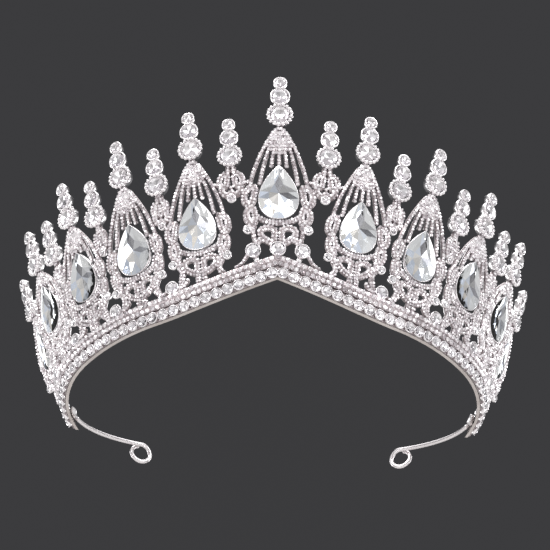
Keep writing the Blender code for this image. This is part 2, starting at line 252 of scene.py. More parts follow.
# painted reflections on the pear stones' foil: dark grey kite facets, bright facets and blue and orange painted
# glints, each set by the facet's direction
FOIL_PAINTED_REFLECTIONS = painted_reflection_foil_material("pear_foil_painted_reflections", ((0.0, (0.96, 0.96, 0.97)), (0.083, (0.36, 0.36, 0.39)), (0.2, (0.8, 0.8, 0.82)), (0.42, (0.99, 0.99, 0.99)),
                                    (0.52, (0.82, 0.88, 1.0)), (0.62, (0.98, 0.98, 0.98)), (0.73, (1.0, 0.9, 0.78)), (0.82, (0.82, 0.82, 0.83)),
                                    (0.917, (0.36, 0.36, 0.39)), (1.0, (0.96, 0.96, 0.97))))
# painted reflections on the round stones' foil: facets lighter or darker by the direction they face
ROUND_FOIL_PAINTED_REFLECTIONS = painted_reflection_foil_material("round_foil_painted_reflections", ((0.0, (0.97, 0.94, 0.955)), (0.2, (0.66, 0.63, 0.65)), (0.42, (0.99, 0.96, 0.975)), (0.6, (0.83, 0.8, 0.83)),
                                                (0.76, (0.98, 0.95, 0.965)), (0.92, (0.78, 0.745, 0.76))))


# ---- mesh building ----
class Build:
    def __init__(self):
        self.v, self.f, self.m, self.s = [], [], [], []

    def add(self, verts, faces, mat=0, smooth=False, at=None):
        k = len(self.v)
        if at is not None:
            verts = [at @ Vector(p) for p in verts]
        self.v += [tuple(p) for p in verts]
        self.f += [tuple(i + k for i in q) for q in faces]
        self.m += [mat] * len(faces)
        self.s += [smooth] * len(faces)

    def mesh(self, name, mats):
        me = bpy.data.meshes.new(name)
        me.from_pydata([(x * MM, y * MM, z * MM) for x, y, z in self.v], [], self.f)
        me.polygons.foreach_set("material_index", self.m)
        me.polygons.foreach_set("use_smooth", self.s)
        for q in mats:
            me.materials.append(q)
        bm = bmesh.new()
        bm.from_mesh(me)
        bmesh.ops.recalc_face_normals(bm, faces=bm.faces)
        bm.to_mesh(me)
        bm.free()
        me.update()
        return me


def tube(B, pts, rx, rz, n=8, closed=False, mat=0, up=Vector((0, 0, 1)), smooth=True, back=None):
    pts = [Vector(p) for p in pts]
    k = len(pts)
    verts, faces = [], []
    for i, p in enumerate(pts):
        a = pts[(i - 1) % k] if closed else pts[max(i - 1, 0)]
        b = pts[(i + 1) % k] if closed else pts[min(i + 1, k - 1)]
        t = (b - a).normalized()
        side = t.cross(up).normalized()
        top = side.cross(t)
        for j in range(n):
            q = 2 * math.pi * j / n
            verts.append(p + side * rx * math.cos(q) + top * rz * math.sin(q))
    for i in range(k if closed else k - 1):
        i2 = (i + 1) % k
        for j in range(n):
            j2 = (j + 1) % n
            faces.append((i * n + j, i * n + j2, i2 * n + j2, i2 * n + j))
    if not closed:
        faces.append(tuple(range(n))[::-1])
        faces.append(tuple((k - 1) * n + j for j in range(n)))
    B.add(verts, faces, mat, smooth)
    if back is not None:
        # the side away from the stones gets a material of its own; in bar() the stone side is the pave bed, painted
        # shade between the stones, and the back is plain silver
        first = len(B.m) - len(faces)
        for i in range((k if closed else k - 1) * n):
            if math.sin(2 * math.pi * (i % n + 0.5) / n) < -0.3:
                B.m[first + i] = back


def spline(ctrl, n, closed=False):
    """Smooth flat curve through control points."""
    out = []
    k = len(ctrl)
    segs = k if closed else k - 1
    for i in range(segs):
        if closed:
            p0, p1, p2, p3 = (ctrl[(i + d) % k] for d in (-1, 0, 1, 2))
        else:
            p0, p1, p2, p3 = (ctrl[min(max(i + d, 0), k - 1)] for d in (-1, 0, 1, 2))
        for j in range(n):
            t = j / n
            out.append(tuple(0.5 * (2 * b + (c - a) * t + (2 * a - 5 * b + 4 * c - d) * t * t + (3 * b - a - 3 * c + d) * t ** 3)
                             for a, b, c, d in zip(p0, p1, p2, p3)))
    if not closed:
        out.append(tuple(ctrl[-1]))
    return out


def along(pts, step, closed=False):
    """Points and directions evenly spaced along a polyline."""
    pts = [Vector((*p, 0.0)) if len(p) == 2 else Vector(p) for p in pts]
    if closed:
        pts = pts + [pts[0]]
    lens = [(b - a).length for a, b in zip(pts, pts[1:])]
    total = sum(lens)
    n = max(1, int(round(total / step)))
    out = []
    for i in range(n if closed else n + 1):
        d = total * (i / n)
        for a, b, ln in zip(pts, pts[1:], lens):
            if d <= ln or b is pts[-1]:
                out.append((a + (b - a) * min(d / ln if ln else 0.0, 1.0), (b - a).normalized()))
                break
            d -= ln
    return out


def brilliant(B, girdle, centre, c0, crown, depth, table=0.56, star=0.8, glass=0, foil=1, at=None, keel=None, plain=False):
    """Faceted stone over an even-numbered outline: table, star, kite and girdle facets, and a foiled pavilion."""
    n = len(girdle) // 2
    cx, cy = centre
    pt = lambda p, k, z: (cx + (p[0] - cx) * k, cy + (p[1] - cy) * k, z)
    g = [pt(p, 1.0, c0) for p in girdle]
    t = [pt(girdle[2 * i], table, c0 + crown) for i in range(n)]
    s = [pt(girdle[2 * i + 1], star, c0 + crown * 0.58) for i in range(n)]
    p_ = [] if plain else [pt(girdle[2 * i], 0.52, c0 - depth * 0.55) for i in range(n)]
    keel = keel or ((cx, cy),)
    v = g + t + s + p_ + [(kx, ky, c0 - depth) for kx, ky in keel]
    G, T, S, P, C = 0, 2 * n, 3 * n, 4 * n, len(v) - 1
    split = sum(k[1] for k in keel) / len(keel)
    apex = [len(v) - len(keel) if girdle[2 * i][1] > split else C for i in range(n)]
    up = [tuple(T + i for i in range(n))]
    low = []
    for i in range(n):
        j, h = (i + 1) % n, (i - 1) % n
        up.append((T + i, S + i, T + j))
        up.append((T + i, S + h, G + 2 * i, S + i))
        up.append((S + i, G + 2 * i, G + 2 * i + 1))
        up.append((S + i, G + 2 * i + 1, G + 2 * j))
        if plain:
            low.append((G + 2 * j, G + 2 * i + 1, G + 2 * i))
            low.append((G + 2 * j, G + 2 * i, apex[i]))
            if apex[i] != apex[j]:
                low.append((G + 2 * j, apex[i], apex[j]))
            continue
        low.append((G + 2 * i + 1, G + 2 * i, P + i))
        low.append((G + 2 * j, G + 2 * i + 1, P + j))
        low.append((G + 2 * i + 1, P + i, P + j))
        low.append((P + j, P + i, C))
    k = len(B.v)
    vv = [at @ Vector(q) for q in v] if at is not None else v
    B.v += [tuple(q) for q in vv]
    for fs, mat in ((up, glass), (low, foil)):
        B.f += [tuple(i + k for i in q) for q in fs]
        B.m += [mat] * len(fs)
        B.s += [False] * len(fs)


def circle(r, n, cx=0.0, cy=0.0, turn=0.0):
    return [(cx + r * math.cos(2 * math.pi * i / n + turn), cy + r * math.sin(2 * math.pi * i / n + turn)) for i in range(n)]


def grain(B, at, r, h, mat):
    """One tiny pave stone: six-sided, with a table."""
    n = 6
    turn = rng.uniform(0, 1)
    lo = [(r * math.cos(turn + math.pi * i / 3), r * math.sin(turn + math.pi * i / 3), -0.25) for i in range(n)]
    mid = [(r * math.cos(turn + math.pi * i / 3), r * math.sin(turn + math.pi * i / 3), 0.0) for i in range(n)]
    hi = [(0.52 * r * math.cos(turn + math.pi * (i + 0.5) / 3), 0.52 * r * math.sin(turn + math.pi * (i + 0.5) / 3), h) for i in range(n)]
    fs = [tuple(12 + i for i in range(n)), tuple(range(n))[::-1]]
    for i in range(n):
        j = (i + 1) % n
        fs += [(i, j, 6 + j, 6 + i), (6 + i, 6 + j, 12 + i), (6 + j, 12 + j, 12 + i)]
    B.add(lo + mid + hi, fs, mat, False, at)


def pave_row(B, pts, r, c, step=None, closed=False, mat=1, offset=0.0):
    """Stones set in a row along a flat path."""
    for p, d in along(pts, step or 1.92 * r, closed):
        side = Vector((d.y, -d.x, 0))
        at = Matrix.Translation((p.x + side.x * offset, p.y + side.y * offset, c)) @ Matrix.Rotation(rng.uniform(-0.32, 0.32), 4, "X") \
            @ Matrix.Rotation(rng.uniform(-0.32, 0.32), 4, "Y")
        grain(B, at, r * rng.uniform(0.93, 1.05), r * 0.62, mat)


def lathe(B, prof, n, mat=0, at=None, smooth=True):
    """Closed turned ring or cup: prof is a closed (radius, height) outline."""
    v, f = [], []
    k = len(prof)
    for i in range(n):
        q = 2 * math.pi * i / n
        v += [(r * math.cos(q), r * math.sin(q), z) for r, z in prof]
    for i in range(n):
        i2 = (i + 1) % n
        for j in range(k):
            j2 = (j + 1) % k
            f.append((i * k + j, i2 * k + j, i2 * k + j2, i * k + j2))
    B.add(v, f, mat, smooth, at)


def cup(B, x, y, r, c, mat=0, n=20, deep=1.6, teeth=0, tilt=0.0):
    """Round stone cup with a thin turned rim; teeth makes it a coronet bezel. tilt turns its face upwards."""
    at = Matrix.Translation((x, y, c)) @ Matrix.Rotation(-tilt, 4, "X")
    e = 0.42 if teeth else 0.0
    lathe(B, [(r * 0.62, -deep), (r * 0.86, -deep), (r - e, -0.25), (r - e, 0.2), (r - 0.14 - e, 0.36), (r - 0.34 - e, 0.28), (r - 0.4 - e, -0.3), (r * 0.62, -deep + 0.5)], n, mat, at)
    for i in range(teeth):
        q = 2 * math.pi * (i + 0.5) / teeth
        m = at @ Matrix.Rotation(q, 4, "Z") @ Matrix.Translation((r - 0.42, 0, 0.22))
        w = math.pi * r / teeth * 0.86
        v, f = [(0, 0, 0.62)], []
        for h, k in ((0.38, 0.72), (0.0, 1.0), (-0.5, 0.9)):
            v += [(0.5 * k * math.cos(math.pi * j / 3), w * k * math.sin(math.pi * j / 3), h) for j in range(6)]
        for j in range(6):
            j2 = (j + 1) % 6
            f += [(0, 1 + j, 1 + j2), (1 + j, 7 + j, 7 + j2, 1 + j2), (7 + j, 13 + j, 13 + j2, 7 + j2)]
        f.append(tuple(13 + j for j in range(6))[::-1])
        B.add(v, f, mat, True, m)


def pear(cy, half_w, height, n, grow=0.0):
    pts = []
    low = cy - height / 2
    for i in range(n):
        t = 2 * math.pi * i / n
        u = 0.5 - 0.5 * math.cos(t)
        w = half_w * 1.39 * math.sin(t) * (0.5 + 0.5 * math.cos(t)) ** 0.42
        pts.append((w * (1 + grow / half_w), low - grow + (height + 2 * grow) * u))
    return pts


def rib_a(t, b, drop=0.0, low=19.5):
    top = 37.4 - drop
    s = min(max((top - b) / (top - low), 0.0), 1.0)
    return t * (1.3 + 5.6 * (1 - (1 - s) ** 1.8))


# ---- motifs ----
RX, RZ = 0.52, 0.62       # half width and half depth of a cast bar
PR = 0.455                # pave stone radius
CUP_TILT = math.radians(6.0)   # the finials' cups face up from the wall


def bar(B, pts, closed=False, rx=RX, two_rows=False, c=0.0):
    # the stone side of the bar takes the pave bed's painted shade, the back stays silver
    tube(B, [(a, b, c) for a, b in pts], rx, RZ, 8, closed, 4, back=0)
    if two_rows:
        pave_row(B, pts, PR * 0.86, c + RZ * 0.9, None, closed, 1, rx * 0.5)
        pave_row(B, pts, PR * 0.86, c + RZ * 0.9, None, closed, 1, -rx * 0.5)
    else:
        pave_row(B, pts, PR, c + RZ * 0.93, None, closed)


def mirror(pts, s):
    return [(s * a, b) for a, b in pts]


def spire_mesh(phi, m, lift, drop, side, foot):
    B = Build()
    edge = lambda a: (BAND_H - 0.15 - lift + edge_offset(phi, a * m)) / m
    wide = lambda a: 5.6 + (a - 5.6) * side
    wid = lambda pts: [(wide(a) if a > 5.6 else a, b) for a, b in pts]
    # fan of seven ribs, shorter towards the band's ends
    top = 36.9 - drop
    for i, low in zip(range(7), (21.8, 23.4, 27.9, 28.6, 27.9, 23.4, 21.8)):
        t = -1 + i / 3.0
        if top - low > 0.8:
            bar(B, [(rib_a(t, top + (low - top) * j / 14.0, drop), top + (low - top) * j / 14.0) for j in range(15)])
    # pave cap that fills the ribs' tops
    for i, lim, cut in zip(range(6), (25.0, 28.0, 29.0, 29.0, 28.0, 25.0), (33.6, 32.6, 31.9, 31.9, 32.6, 33.6)):
        t = -5 / 6.0 + i / 3.0
        low = max(cut - drop, lim)
        if top - low > 0.8:
            cap = top - 0.5
            bar(B, [(rib_a(t, cap + (low - cap) * j / 8.0, drop), cap + (low - cap) * j / 8.0) for j in range(9)], rx=0.5, c=-0.12)
    # neck under the finial
    bar(B, [(-1.3, 37.0 - drop), (-0.4, 37.9 - drop), (0.4, 37.9 - drop), (1.3, 37.0 - drop)])
    bar(B, [(-1.5, 36.1 - drop), (0, 36.6 - drop), (1.5, 36.1 - drop)], rx=0.8, two_rows=True)
    bar(B, [(-1.0, 37.6 - drop), (0, 38.3 - drop), (1.0, 37.6 - drop)], rx=0.6, c=0.1)
    thick = 0.66 + 0.28 * side
    for s in (1, -1):
        # upper side curl: a comma round a small eye, from the outer rib's foot
        bar(B, mirror(wid(spline([(5.5, 22.5), (7.0, 22.3), (8.4, 20.7), (8.3, 19.0), (7.0, 17.9), (6.0, 19.2), (5.6, 20.9)], 4, True)), s), True, rx=thick, two_rows=True)
        # lower side curl round an almond slit
        bar(B, mirror(wid(spline([(5.7, 17.0), (6.7, 17.2), (7.7, 16.0), (7.2, 14.2), (5.9, 13.3), (5.2, 14.8)], 4, True)), s), True, rx=thick, two_rows=True)
        # heart of two almond loops under the pear stone
        bar(B, mirror(spline([(0.85, 12.0), (2.1, 12.6), (3.7, 12.1), (3.9, 10.8), (2.6, 9.5), (1.0, 8.9), (0.8, 10.5)], 4, True), s), True, rx=0.84, two_rows=True)
        if phi:
            bar(B, mirror([(0.5, 9.0), (0.75, 8.0), (0.8, edge(s * 0.8))], s), rx=0.7, two_rows=True)
            f2 = 5.3 * foot
            bar(B, mirror(spline([(5.2, 13.2), (5.4, 11.6), (4.5 * foot, 9.9), (4.7 * foot, 8.4), (f2, edge(s * f2))], 4), s), rx=0.7, two_rows=True)
        else:
            bar(B, mirror(spline([(2.4, 9.5), (3.7, 9.6), (4.6, 8.9), (4.8, 8.1)], 4), s), rx=0.75, two_rows=True)
            bar(B, mirror(spline([(5.3, 13.2), (5.6, 11.8), (5.3, 10.2), (5.0, 8.5)], 4), s), rx=0.6)
        # side bead in its own cup
        bx = wide(7.2)
        tube(B, [(s * (bx - 0.5), 13.2, 0), (s * (bx - 0.1), 12.2, 0)], 0.5, 0.5, 6)
        cup(B, s * bx, 11.9, 1.1, 0.5, 0, 14, 1.0)
        brilliant(B, circle(0.85, 12, s * bx, 11.9), (s * bx, 11.9), 0.75, 0.35, 0.2, glass=2, foil=3, plain=True)
    # ribbon under the pear stone
    bar(B, spline([(-4.6, 15.0), (-2.6, 14.1), (0, 13.8), (2.6, 14.1), (4.6, 15.0)], 4), rx=0.66, two_rows=True)
    # setting of the pear stone: gallery and a thin rim
    tube(B, [(a, b, 0.1) for a, b in pear(TEAR_B, TEAR_W, TEAR_H, 40, -0.25)], 0.3, 0.5, 8, True)
    tube(B, [(a, b, 0.66) for a, b in pear(TEAR_B, TEAR_W, TEAR_H, 40, 0.0)], 0.1, 0.13, 8, True)
    # cups of the finial
    for i, (b, r) in enumerate(lowered(FINIAL, drop)):
        cup(B, 0, b, r, 0.85 - 0.1 * i, 0, 24, 1.5, 17 if i == 0 else 0, CUP_TILT)
    tube(B, [(0, 37.0 - drop, -0.25), (0, 50.0 - drop, -0.25)], 0.7, 0.5, 8)
    return B.mesh("spire_openwork", [SILVER, PAVE, GLASS, ROUND_FOIL_PAINTED_REFLECTIONS, PAVE_BED_PAINTED_SHADE])


def finial_mesh(w, drop):
    B = Build()
    leaf = lambda b: 31.6 - drop - (31.6 - b) * (9.2 - drop) / 8.8
    lf = lambda pts: [(a * w, leaf(b)) for a, b in pts]
    thick = 0.5 + 0.35 * w
    for s in (1, -1):
        bar(B, mirror(lf(spline([(0.9, 30.3), (2.2, 30.1), (2.9, 28.7), (2.5, 27.4), (1.4, 27.2), (1.0, 28.6)], 4, True)), s), True, rx=thick, two_rows=True)
        bar(B, mirror(lf(spline([(2.4, 27.6), (2.4, 26.1), (1.4, 25.2), (0.3, 25.5)], 4)), s), rx=thick, two_rows=True)
        if w > 0.7:
            bar(B, mirror(lf([(2.8, 28.2), (3.5, 27.9), (4.2, 28.0)]), s), rx=0.6)
        bar(B, mirror(lf([(0.5, 32.2), (0.8, 30.6)]), s), rx=0.8)
    bar(B, lf([(0, 27.0), (0, 25.6), (0, 24.3)]))
    cup(B, 0, leaf(24.2), 0.6 + 0.6 * w, 0.5, 0, 14, 1.0)
    q = 0.3 + 0.6 * w
    brilliant(B, circle(q, 12, 0, leaf(24.2)), (0, leaf(24.2)), 0.75, 0.4, 0.6, glass=2, foil=3)
    cups = lowered(MID_FINIAL, drop)
    for i, (b, r) in enumerate(cups):
        cup(B, 0, b, r, 0.85 - 0.1 * i, 0, 24, 1.5, 17 if i == 0 else 0, CUP_TILT)
    tube(B, [(0, leaf(31.0), -0.25), (0, cups[2][0], -0.25)], 0.7, 0.5, 8)
    return B.mesh("finial_openwork", [SILVER, PAVE, GLASS, ROUND_FOIL_PAINTED_REFLECTIONS, PAVE_BED_PAINTED_SHADE])


def stones_mesh(name, cups):
    B = Build()
    for i, (b, r) in enumerate(cups):
        q = r * 0.74 if i == 0 else r - 0.34
        at = Matrix.Translation((0, b, 0.85 - 0.1 * i)) @ Matrix.Rotation(-CUP_TILT, 4, "X")
        brilliant(B, circle(q, 16, turn=0.2 * i), (0, 0), 0.25, q * 0.3, q * 0.22, at=at, plain=True)
    return B.mesh(name, [GLASS, ROUND_FOIL_PAINTED_REFLECTIONS])


def pear_mesh():
    """Pear crystal: flat table over a shallow foiled back with a kite facet above the culet."""
    B = Build()
    n = 24
    girdle = pear(TEAR_B, TEAR_W, TEAR_H, n)
    half = n // 2
    cx, cy, tab, star, c0, crown = 0.0, TEAR_B - 0.5, 0.7, 0.87, 0.75, 0.24
    pt = lambda p, k, z: (cx + (p[0] - cx) * k, cy + (p[1] - cy) * k, z)
    v = [pt(p, 1.0, c0) for p in girdle]
    v += [pt(girdle[2 * i], tab, c0 + crown) for i in range(half)]
    v += [pt(girdle[2 * i + 1], star, c0 + crown * 0.58) for i in range(half)]
    G, T, S = 0, n, n + half
    up, down = [tuple(T + i for i in range(half))], []
    for i in range(half):
        j, h = (i + 1) % half, (i - 1) % half
        up += [(T + i, S + i, T + j), (T + i, S + h, G + 2 * i, S + i), (S + i, G + 2 * i, G + 2 * i + 1), (S + i, G + 2 * i + 1, G + 2 * j)]
    # foiled back: culet, kite corners, and an inner ring in the round lower half
    K = len(v)
    v += [(0.0, TEAR_B - 0.3, c0 - 0.36), (1.0, TEAR_B + 1.9, c0 + 0.0), (0.0, TEAR_B + 3.8, c0 + 0.3), (-1.0, TEAR_B + 1.9, c0 + 0.0)]
    down.append((K, K + 3, K + 2, K + 1))
    R = len(v)
    ring = [6, 4, 2, 0, 22, 20, 18]
    v += [((girdle[i][0]) * 0.5, TEAR_B - 0.3 + (girdle[i][1] - TEAR_B + 0.3) * 0.5, c0 - (0.18 if j % 2 else 0.08)) for j, i in enumerate(ring)]
    for j in range(6):
        down.append((K, R + j, R + j + 1))
        i0, i1 = ring[j], ring[j + 1]
        mid = (i0 - 1) % n
        down += [(R + j, i0, mid), (R + j, mid, R + j + 1), (R + j + 1, mid, i1)]
    for side, kk, r_ in ((1, K + 1, R), (-1, K + 3, R + 6)):
        g = [(side * i) % n for i in range(6, 13)]
        fan = [(K, kk, r_), (kk, g[0], r_)] + [(kk, g[q + 1], g[q]) for q in range(4)]
        fan += [(kk, K + 2, g[4])] + [(K + 2, g[q + 1], g[q]) for q in (4, 5)]
        down += fan
    # lacquered coat behind the foil, a thin closed shell
    used = sorted({i for f in down for i in f})
    near = {i: len(v) + q for q, i in enumerate(used)}
    far = {i: len(v) + len(used) + q for q, i in enumerate(used)}
    v += [pt(v[i], 0.985, v[i][2] - dz) for dz in (0.05, 0.17) for i in used]
    edges = [tuple(sorted((f[q], f[(q + 1) % len(f)]))) for f in down for q in range(len(f))]
    coat = [tuple(far[i] for i in f) for f in down] + [tuple(near[i] for i in reversed(f)) for f in down]
    coat += [(far[q], far[i], near[i], near[q]) for i, q in edges if edges.count((i, q)) == 1]
    B.v += v
    for fs, mat in ((up, 0), (down, 1), (coat, 2)):
        B.f += fs
        B.m += [mat] * len(fs)
        B.s += [False] * len(fs)
    return B.mesh("pear_crystal", [GLASS, FOIL_PAINTED_REFLECTIONS, COAT])


def place(name, mesh, matrix, nodes, body="crown"):
    o = bpy.data.objects.new(name, mesh)
    bpy.context.scene.collection.objects.link(o)
    o.matrix_world = matrix
    bpy.context.view_layer.update()
    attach(o, body)
    if nodes:
        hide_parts(*nodes)
    return o


def side_name(base, k, side):
    return f"{base}_center" if k == 0 else f"{base}_{'right' if side > 0 else 'left'}_{k}"


pear_gem = pear_mesh()
mains = zip(MAIN_ANGLES, MAIN_SCALE, MAIN_LIFT, MAIN_DROP, MAIN_SIDE, MAIN_FOOT)
for k, (phi, m, lift, drop, lobe, foot) in enumerate(mains):
    gems = stones_mesh(f"spire_gems_{k}", lowered(FINIAL, drop))
    for side in ((1,) if k == 0 else (1, -1)):
        at = seat(side * phi, lift) @ Matrix.Scale(m, 4)
        for base, mesh, slot in (("spire", spire_mesh(side * phi, m, lift, drop, lobe, foot), "silver_plate"),
                                 ("pear_stone", pear_gem, "clear_crystal"), ("spire_stones", gems, "clear_crystal")):
            name = side_name(base, k, side)
            place("look_" + name, mesh, at, [name], "crown")
mids = zip(MID_ANGLES, MID_SCALE, MID_LIFT, MID_DROP, MID_BASE)
for k, (phi, m, lift, drop, w) in enumerate(mids, start=1):
    gems = stones_mesh(f"finial_gems_{k}", lowered(MID_FINIAL, drop))
    cast = finial_mesh(w, drop)
    for side in (1, -1):
        at = seat(side * phi, lift) @ Matrix.Scale(m, 4)
        for base, mesh, slot in (("finial", cast, "silver_plate"), ("finial_stones", gems, "clear_crystal")):
            name = side_name(base, k, side)
            place("look_" + name, mesh, at, [name], "crown")


# ---- band: cup chain, bead rail and the stones that stand on it ----
def arc_angles(b, c, step, end):
    """Angles at even spacing along the band."""
    fine = [-end + 2 * end * i / 1200 for i in range(1201)]
    pts = [on_wall(p, b, c) for p in fine]
    total, marks = 0.0, [0.0]
    for p, q in zip(pts, pts[1:]):
        total += (q - p).length
        marks.append(total)
    n = int(round(total / step))
    out, j = [], 0
    for i in range(n):
        want = total * (i + 0.5) / n
        while marks[j + 1] < want:
            j += 1
        t = (want - marks[j]) / (marks[j + 1] - marks[j])
        out.append(fine[j] + (fine[j + 1] - fine[j]) * t)
    return out


def strip(B, prof, end, steps, mat=0, smooth=True):
    """Closed profile (height on the wall, depth) swept along the band."""
    k = len(prof)
    v, f = [], []
    for i in range(steps + 1):
        phi = -end + 2 * end * i / steps
        v += [on_wall(phi, b, c) for b, c in prof]
    for i in range(steps):
        for j in range(k):
            j2 = (j + 1) % k
            f.append((i * k + j, i * k + j2, (i + 1) * k + j2, (i + 1) * k + j))
    f.append(tuple(range(k))[::-1])
    f.append(tuple(steps * k + j for j in range(k)))
    B.add(v, f, mat, smooth)


def chain_mesh():
    B = Build()
    # the chain's backing strip takes the pave bed's painted shade
    strip(B, [(0.25, 0.45), (0.3, 0.75), (3.1, 0.75), (3.1, 0.45)], END_ANGLE - 0.4, 150, 4, False)
    for phi in arc_angles(1.8, 1.4, 3.02, END_ANGLE - 0.6):
        at = wall_frame(phi, 1.5, 1.2)
        lathe(B, [(0.8, -0.7), (1.4, -0.7), (1.53, 0.1), (1.51, 0.3), (1.32, 0.38), (1.22, 0.1)], 14, 0, at)
        for q in range(4):
            w = at @ Matrix.Rotation(math.pi * (q + 0.5) / 2, 4, "Z") @ Matrix.Translation((1.36, 0, 0.4))
            B.add([(0.2, 0, -0.2), (0, 0.22, -0.1), (-0.26, 0, 0.0), (0, -0.22, -0.1), (-0.04, 0, 0.26)],
                  [(0, 1, 4), (1, 2, 4), (2, 3, 4), (3, 0, 4), (3, 2, 1, 0)], 0, True, w)
        tilt = at @ Matrix.Rotation(rng.uniform(-0.08, 0.08), 4, "X") @ Matrix.Rotation(rng.uniform(-0.08, 0.08), 4, "Y")
        brilliant(B, circle(1.3, 16, turn=rng.uniform(0, 1)), (0, 0), 0.3, 0.42, 0.32, glass=2, foil=3, at=tilt, plain=True)
    return B.mesh("cup_chain_stones", [SILVER, PAVE, GLASS, ROUND_FOIL_PAINTED_REFLECTIONS, PAVE_BED_PAINTED_SHADE])


def rail_mesh():
    B = Build()
    # the rail's strip takes the pave bed's painted shade
    strip(B, [(3.2, 0.5), (3.15, 1.0), (3.4, 1.3), (6.1, 1.3), (6.35, 1.0), (6.3, 0.5)], END_ANGLE - 0.4, 150, 4, True)
    for b in (3.95, 5.5):
        for phi in arc_angles(b, 1.3, 1.48, END_ANGLE - 0.7):
            at = wall_frame(phi, b, 1.36) @ Matrix.Rotation(rng.uniform(-0.2, 0.2), 4, "X") @ Matrix.Rotation(rng.uniform(-0.2, 0.2), 4, "Y")
            grain(B, at, 0.74, 0.42, 1)
    # round stones standing on the rail: three at the front, then one between each pair of spires
    spots = [(0.0, 2.1, 1.5)]
    for phi, r, up in ((5.4, 2.05, 3.3), (24.6, 1.8, 1.4), (40.3, 1.8, 1.4), (55.2, 1.75, 1.4), (69.6, 1.75, 1.4)):
        spots += [(phi, r, up), (-phi, r, up)]
    for phi, r, up in spots:
        at = wall_frame(phi, BAND_H + up, 0.7)
        lathe(B, [(r * 0.6, -0.9), (r * 0.85, -0.9), (r, 0.1), (r, 0.4), (r - 0.16, 0.5), (r - 0.32, 0.2)], 20, 0, at)
        brilliant(B, circle(r - 0.26, 16), (0, 0), 0.4, (r - 0.3) * 0.34, 0.4, glass=2, foil=3, at=at, plain=True)
        tube(B, [at @ Vector((0, -r + 0.3, -0.3)), at @ Vector((0, -up - 0.4, -0.3))], 0.7, 0.5, 8, False, 0, at.to_3x3() @ Vector((0, 0, 1)))
        # leaf-shaped curls that run out along the rail from each stone
        for s in (1, -1):
            if phi == 0.0 or (abs(phi) < 6.0 and s * phi < 0):
                continue
            path = ((-0.1, -0.5), (1.2, -0.9), (2.2, -0.2), (2.9, 0.6)) if up < 2 else ((-0.2, -0.6), (0.8, -1.5), (2.0, -2.4), (3.6, -2.9))
            arm = [at @ Vector((s * (r + x), y, -0.3)) for x, y in path]
            nrm = at.to_3x3() @ Vector((0, 0, 1))
            # the leaf curls take the pave bed's painted shade under their stones
            tube(B, spline([tuple(q) for q in arm], 5), 0.55, 0.5, 8, False, 4, nrm)
            for p, d in along(spline([tuple(q) for q in arm], 5), 0.95):
                fr = at.to_3x3().to_4x4()
                fr.translation = p + nrm * 0.48
                grain(B, fr @ Matrix.Rotation(rng.uniform(-0.2, 0.2), 4, "X"), 0.46, 0.3, 1)
    return B.mesh("bead_rail_stones", [SILVER, PAVE, GLASS, ROUND_FOIL_PAINTED_REFLECTIONS, PAVE_BED_PAINTED_SHADE])


ident = Matrix.Identity(4)
place("look_cup_chain", chain_mesh(), ident, ["cup_chain"], "crown")
place("look_bead_rail", rail_mesh(), ident, ["bead_rail"], "crown")
# the band takes the painted shade and brownish painted reflection tone
for node, mat in (("base_band", BAND_PAINTED_SHADE_AND_REFLECTION),):
    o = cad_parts[node]
    o.data.materials.clear()
    o.data.materials.append(mat)


# ---- band ends and tails ----
def end_mesh(side):
    B = Build()
    for d, r, b in ((0.0, 1.5, BAND_H + 2.0),):
        at = wall_frame(side * (END_STONE_ANGLE - math.degrees(d / 68.0)), b, 0.4)
        lathe(B, [(r * 0.6, -0.9), (r * 0.85, -0.9), (r, 0.1), (r, 0.45), (r - 0.2, 0.55), (r - 0.36, 0.2)], 18, 0, at)
        brilliant(B, circle(r - 0.3, 16), (0, 0), 0.4, (r - 0.3) * 0.34, 0.35, glass=1, foil=2, at=at, plain=True)
        tube(B, [at @ Vector((0, -r + 0.4, -0.3)), at @ Vector((0, -r - 1.0, -0.3))], 0.6, 0.5, 8, False, 0, at.to_3x3() @ Vector((0, 0, 1)))
    return B.mesh(f"end_stones_{side}", [SILVER, GLASS, ROUND_FOIL_PAINTED_REFLECTIONS])


def tail_points(side):
    root = inside(TAIL_ROOT_ANGLE, TAIL_Z, GAP + TAIL_D / 2 + 0.1)
    root.y -= RING_Y
    far = Vector((36.9, 9.9, 2 * LOOP_R + TAIL_D / 2 + 0.15))
    ctrl = Vector((root.x * 0.93, root.y + 8.0, TAIL_Z + 0.4))
    n = 28
    pts = [root * (1 - i / n) ** 2 + ctrl * 2 * (i / n) * (1 - i / n) + far * (i / n) ** 2 for i in range(n + 1)]
    d = far - ctrl
    d.z = 0
    d.normalize()
    drift = Vector((d.y, -d.x, 0)) * (TAIL_D * 1.12)
    for i in range(1, 41):
        q = math.radians(340.0 * i / 40)
        pts.append(pts[n] + d * LOOP_R * math.sin(q) - Vector((0, 0, 1)) * LOOP_R * (1 - math.cos(q)) + drift * (i / 40.0))
    return [Vector((side * p.x, p.y + RING_Y, p.z)) for p in pts]


